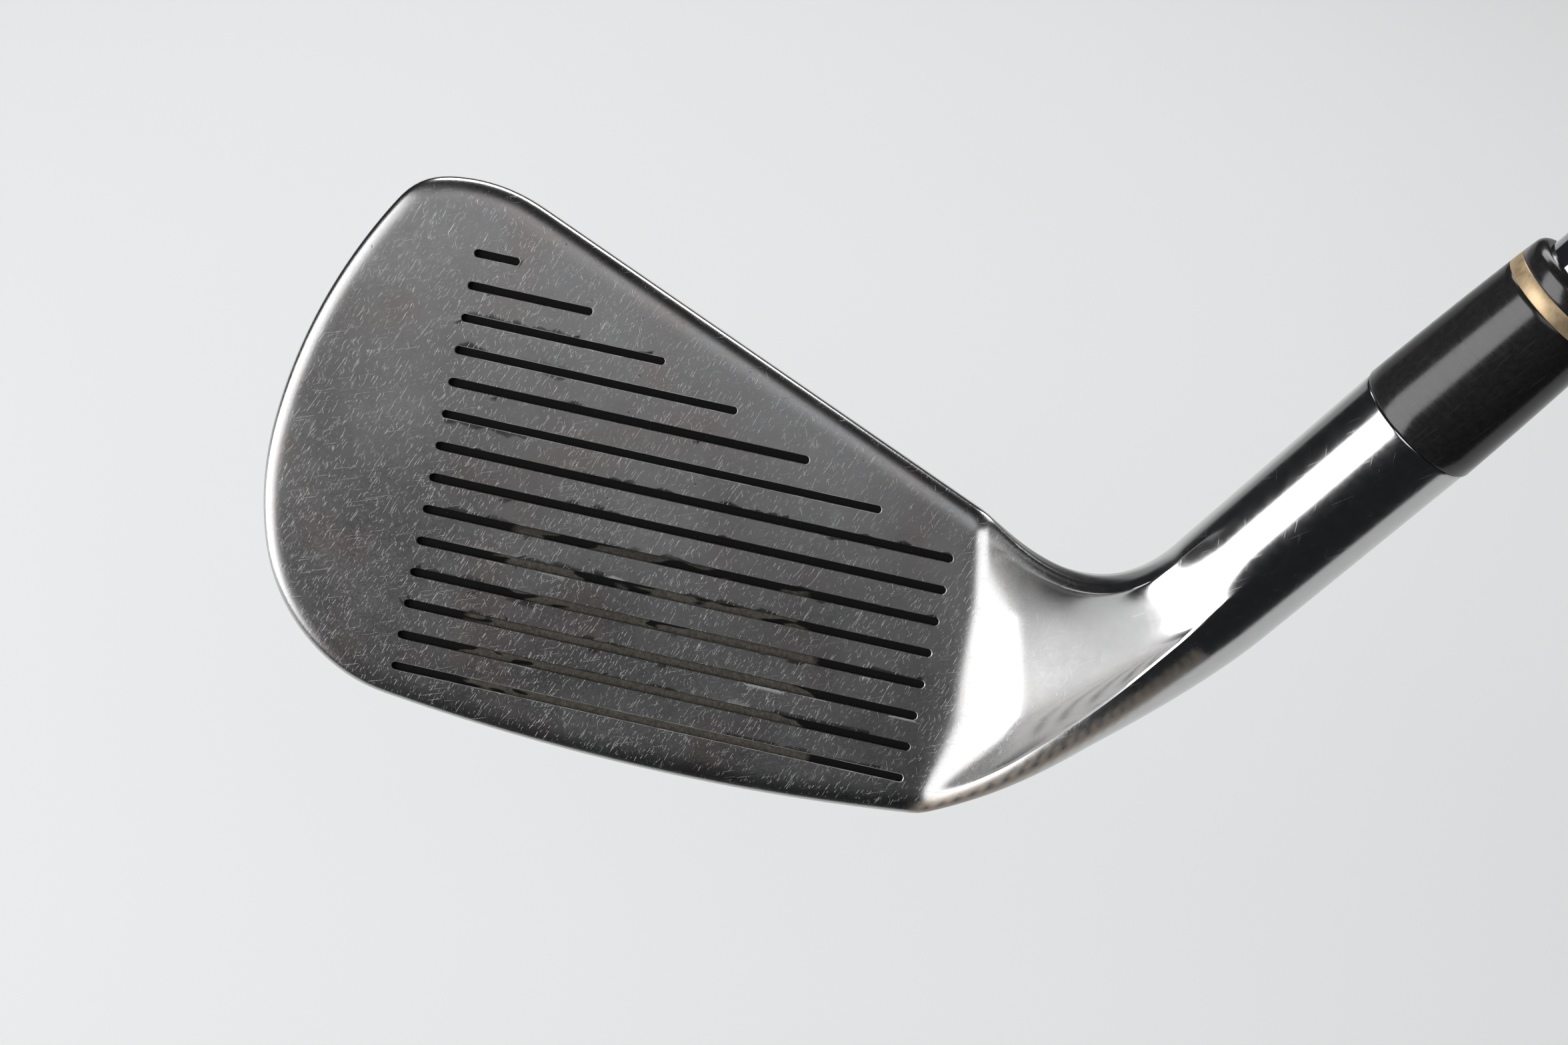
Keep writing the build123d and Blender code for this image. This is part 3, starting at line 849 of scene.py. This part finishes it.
height_up = dirt_and_shade.band(parts.outputs["Y"], foot_up + 8 * MM, foot_up + 26 * MM, 1.0, 0.35)
rows = dirt_and_shade.add("ShaderNodeMapping", {"Vector": face_xy, "Scale": (1 / (9 * MM), 1 / (2.0 * MM), 0)})
breaks = dirt_and_shade.noise(1.0, rows.outputs["Vector"], 2.0)
filled = dirt_and_shade.math("MULTIPLY", dirt_and_shade.math("MULTIPLY", along, height_up), dirt_and_shade.band(breaks, 0.3, 0.5))
filled = dirt_and_shade.band(filled, 0.38, 0.46)
specks = dirt_and_shade.noise(0.35 * MM, face_xy, 4.0, 0.8)
soil = dirt_and_shade.mix(dirt_and_shade.band(specks, 0.35, 0.7), (0.05, 0.045, 0.036, 1), (0.15, 0.135, 0.115, 1))
# The bare floor is painted near black, with a few lighter specks: painted shade in the grooves.
painted_groove_shade = dirt_and_shade.mix(dirt_and_shade.band(specks, 0.62, 0.72), grey(0.006), grey(0.05, 0.1))
dirt_and_shade.give(Base_Color=dirt_and_shade.mix(filled, painted_groove_shade, soil),
          Roughness=dirt_and_shade.band(specks, 0.3, 0.7, 0.75, 0.95),
          Metallic=0.0, Normal=dirt_and_shade.bumps(specks, 0.06 * MM))
dirt_and_shade.surface.inputs["Specular IOR Level"].default_value = 0.15
head.data.materials[1] = dirt_and_shade.material
lips = Finish("worn groove lip")
face_xy = face_space(lips)
worn = lips.noise(2.2 * MM, face_xy, 3.0)
lips.give(Base_Color=lips.mix(lips.band(worn, 0.4, 0.65), grey(0.38), grey(0.78)), Metallic=0.5,
          Roughness=lips.band(worn, 0.35, 0.65, 0.45, 0.3), Normal=lips.bumps(worn, 0.02 * MM))
head.data.materials[2] = lips.material
print("dirt finish", len(dirt_and_shade.tree.nodes), "nodes, lip finish", len(lips.tree.nodes), "nodes")

# %% [markdown]
# Black ferrule plastic is never a flat black: handling leaves it satin, with fine turning
# lines round it, a little dust and a few rubs. The space used here has its Z along the
# shaft, so a line round the ferrule is a change along Z.
# %% Ferrule and shaft finishes


def along_shaft(finish):
    """Object space turned so that Z runs along the shaft."""
    return finish.turned_space((0, -(math.pi / 2 - LIE), 0))


black = Finish("black plastic")
lined = along_shaft(black)
lathe_lines = black.add("ShaderNodeMapping", {"Vector": lined, "Scale": (120, 120, 4500)})
turning = black.noise(1.0, lathe_lines.outputs["Vector"], 2.0)
dust = black.noise(0.6 * MM, lined, 5.0, 0.75)
rubs = black.scratches(lined, 30, 3 * MM, 0.08 * MM, 0.72)
shade = black.mix(black.band(dust, 0.35, 0.8), grey(0.011), grey(0.022, 0.02))
shade = black.mix(black.math("MULTIPLY", rubs, 0.15), shade, grey(0.10))
black.give(Base_Color=shade, Roughness=black.band(turning, 0.3, 0.7, 0.15, 0.22),
           Normal=black.bumps(black.math("ADD", turning, black.math("MULTIPLY", dust, 0.6)),
                              0.006 * MM, 0.5))
black.surface.inputs["Specular IOR Level"].default_value = 0.5
for piece in (ferrule_body, ferrule_cap):
    piece.data.materials.clear()
    piece.data.materials.append(black.material)

gold = Finish("gold trim")
worn = gold.noise(0.8 * MM, None, 5.0, 0.7)
tint = gold.mix(gold.band(worn, 0.35, 0.7), (0.42, 0.30, 0.17, 1), (0.56, 0.43, 0.27, 1))
gold.give(Base_Color=tint, Metallic=0.6, Roughness=gold.band(worn, 0.3, 0.7, 0.35, 0.5),
          Normal=gold.bumps(worn, 0.02 * MM))
ferrule_ring.data.materials.clear()
ferrule_ring.data.materials.append(gold.material)

chrome = Finish("chromed steel")
lined = along_shaft(chrome)
polish_lines = chrome.add("ShaderNodeMapping", {"Vector": lined, "Scale": (200, 200, 3000)})
lines = chrome.noise(1.0, polish_lines.outputs["Vector"], 2.0)
smear = chrome.noise(14 * MM, lined, 4.0)
rubs = chrome.scratches(lined, 80, 5 * MM, 0.06 * MM, 0.74)
chrome.give(Base_Color=chrome.mix(chrome.band(smear, 0.3, 0.7), grey(0.72), grey(0.80)), Metallic=1.0,
            Roughness=chrome.math("ADD", chrome.band(smear, 0.35, 0.75, 0.04, 0.10),
                                  chrome.math("MULTIPLY", rubs, 0.2)),
            Normal=chrome.bumps(chrome.math("SUBTRACT", lines, chrome.math("MULTIPLY", rubs, 0.5)),
                                0.004 * MM, 0.5))
shaft.data.materials.clear()
shaft.data.materials.append(chrome.material)
print("plastic finish", len(black.tree.nodes), "nodes, chrome finish", len(chrome.tree.nodes), "nodes")

# %% [markdown]
# Rubber is dull and dark, paler where hands have rubbed it. The dimples repeat round the grip
# and along it: the angle round comes from the piece's own place, and a sine in each
# direction makes the rows. The dimples are sunk by bumps and also darkened in colour,
# which is painted shade in their hollows.
# %% Grip finishes
rubber = Finish("grip rubber")
lined = along_shaft(rubber)
parts = rubber.add("ShaderNodeSeparateXYZ", {"Vector": lined})
angle = rubber.math("ARCTAN2", parts.outputs["Y"], parts.outputs["X"])
round_wave = rubber.math("SINE", rubber.math("MULTIPLY", angle, 18.0))
long_wave = rubber.math("SINE", rubber.math("MULTIPLY", parts.outputs["Z"], 2 * math.pi / (5 * MM)))
dimple = rubber.band(rubber.math("MULTIPLY", round_wave, long_wave), 0.35, 0.75)
from_mouth = rubber.band(parts.outputs["Z"], (grip_mouth + 24) * MM, (grip_mouth + 26) * MM)
to_cap = rubber.band(parts.outputs["Z"], (SLEEVE_END - 26) * MM, (SLEEVE_END - 24) * MM, 1.0, 0.0)
dimple = rubber.math("MULTIPLY", dimple, rubber.math("MULTIPLY", from_mouth, to_cap))
skin = rubber.noise(0.5 * MM, lined, 5.0, 0.7)
held = rubber.noise(22 * MM, lined, 3.0)
shade = rubber.mix(rubber.band(held, 0.4, 0.65), grey(0.016), grey(0.034, 0.03))
# Darker dimples: painted shade in the hollows.
shade = rubber.mix(rubber.math("MULTIPLY", dimple, 0.7), shade, grey(0.007))
rubber.give(Base_Color=shade, Roughness=rubber.band(skin, 0.3, 0.7, 0.62, 0.82),
            Normal=rubber.bumps(rubber.math("SUBTRACT", rubber.math("MULTIPLY", skin, 0.25), dimple),
                                0.35 * MM, 0.9))
grip.data.materials.clear()
grip.data.materials.append(rubber.material)
cap_skin = Finish("cap rubber")
skin = cap_skin.noise(0.6 * MM, None, 5.0, 0.7)
scuff = cap_skin.noise(5 * MM, None, 4.0)
cap_skin.give(Base_Color=cap_skin.mix(cap_skin.band(scuff, 0.45, 0.65), grey(0.015), grey(0.05, 0.04)),
              Roughness=cap_skin.band(skin, 0.3, 0.7, 0.6, 0.85), Normal=cap_skin.bumps(skin, 0.15 * MM))
grip_end.data.materials.clear()
grip_end.data.materials.append(cap_skin.material)
print("rubber finish", len(rubber.tree.nodes), "nodes")

# %% [markdown]
# Some pieces keep their CAD shape: the label round the shaft, the tape under the grip,
# the glue in the hosel and the brass plug. They still get finishes of their own, since
# an exploded or cut view shows them.
# %% Finishes for the CAD pieces


def speckled(name, node, low, high, size, metallic, smooth, rough, depth, stretch=(1, 1, 1)):
    """A finish mottled between two colours and two roughnesses, put on a CAD node."""
    finish = Finish(name)
    space = along_shaft(finish)
    scaled = finish.add("ShaderNodeMapping", {"Vector": space, "Scale": stretch})
    value = finish.noise(size, scaled.outputs["Vector"], 5.0, 0.65)
    finish.give(Base_Color=finish.mix(finish.band(value, 0.35, 0.68), low, high), Metallic=metallic,
                Roughness=finish.band(value, 0.3, 0.7, smooth, rough),
                Normal=finish.bumps(value, depth))
    mesh = frame["nodes"][node].data
    mesh.materials.clear()
    mesh.materials.append(finish.material)


speckled("label film", "shaft_band", grey(0.62), grey(0.74, 0.02), 2 * MM,
         0.0, 0.28, 0.42, 0.02 * MM)
speckled("grip tape", "grip_tape", (0.55, 0.47, 0.33, 1), (0.70, 0.62, 0.46, 1), 0.8 * MM,
         0.0, 0.75, 0.9, 0.1 * MM, (1, 1, 6))
speckled("cured glue", "hosel_epoxy", (0.42, 0.30, 0.10, 1), (0.60, 0.46, 0.20, 1), 1 * MM,
         0.0, 0.2, 0.4, 0.03 * MM)
speckled("turned brass", "tip_weight", (0.62, 0.45, 0.20, 1), (0.78, 0.60, 0.30, 1), 0.6 * MM,
         1.0, 0.22, 0.38, 0.02 * MM, (1, 1, 12))
print("CAD pieces finished: shaft_band, grip_tape, hosel_epoxy, tip_weight")

# %% [markdown]
# The camera looks down at the face from close by, with the head filling its view. It is
# rolled a little, so the shaft leans up and out of the frame to the right.
# %% Camera
camera_data = bpy.data.cameras.new("camera")
camera_data.lens = 50.06
camera_data.sensor_width = 36
camera_data.clip_start = 0.01
camera = bpy.data.objects.new("camera", camera_data)
bpy.context.scene.collection.objects.link(camera)
camera.location = (-0.019405, -0.183825, 0.163699)
camera.rotation_euler = [math.radians(a) for a in (55.111, -9.8872, 7.7143)]
bpy.context.scene.camera = camera
print("camera", round(camera.location.length / MM), "mm from where the shaft meets the ground")

# %% [markdown]
# What the polished steel mirrors is the studio, so the studio is built for it: one tall
# white panel on the left, which the hollow of the heel and the long streak on the hosel
# reflect, a pale ground that curves up into a low backdrop, and darkness in front, which
# turns the face dark. The backdrop stays low so that the club shows from behind too.
# %% Studio
GROUND_Z = -0.16


def pale(name, level, cool, glow):
    """A plain pale surface that also glows a little, so that it stays even."""
    finish = Finish(name)
    value = finish.noise(0.3, None, 2.0)
    shade = (level, level * (1 + cool / 2), level * (1 + cool), 1)
    darker = tuple(c * 0.985 for c in shade[:3]) + (1,)
    colour = finish.mix(finish.band(value, 0.3, 0.7), shade, darker)
    finish.give(Base_Color=colour, Roughness=0.9, Emission_Color=colour, Emission_Strength=glow)
    return finish.material


bpy.ops.mesh.primitive_plane_add(size=1, location=(0.1, 0.7, GROUND_Z))
ground = bpy.context.object
ground.name = "ground"
ground.scale = (3.0, 1.6, 1)
bpy.ops.object.transform_apply(location=True, rotation=False, scale=True)
start_edit(ground)
pick(ground, lambda ends: min(end.y for end in ends) > 1.4, "EDGE")
bpy.ops.mesh.extrude_region_move(TRANSFORM_OT_translate={"value": (0, 0.25, 0.08)})
bpy.ops.mesh.extrude_region_move(TRANSFORM_OT_translate={"value": (0, 0.1, 0.3)})
finish_edit(ground, "ground", 60)
ground.data.materials.append(pale("pale ground", 0.72, 0.010, 0.27))


def panel(name, place_at, aim, wide, tall, power, tint=(1, 1, 1)):
    """A soft rectangular light at a place, turned to face a point."""
    data = bpy.data.lights.new(name, "AREA")
    data.shape = "RECTANGLE"
    data.size, data.size_y = wide, tall
    data.energy = power
    data.color = tint
    light = bpy.data.objects.new(name, data)
    bpy.context.scene.collection.objects.link(light)
    light.location = place_at
    away = Vector(place_at) - Vector(aim)
    light.rotation_euler = away.to_track_quat("Z", "Y").to_euler()


panel("left panel", (-0.70, -0.37, 0.12), (0, 0, 0.03), 0.66, 0.9, 8.5)
panel("top panel", (-0.1, 0.75, 0.95), (0, 0.3, 0), 1.2, 0.5, 10.0)
panel("front glow", (0.05, -0.9, 0.75), (0, 0, 0.03), 0.9, 0.5, 2.3, (0.97, 0.98, 1.0))
world = bpy.data.worlds.new("studio")
world.use_nodes = True
surroundings = world.node_tree.nodes["Background"]
surroundings.inputs["Color"].default_value = (0.03, 0.032, 0.037, 1)
surroundings.inputs["Strength"].default_value = 0.6
bpy.context.scene.world = world
bpy.context.scene.view_settings.view_transform = "Standard"
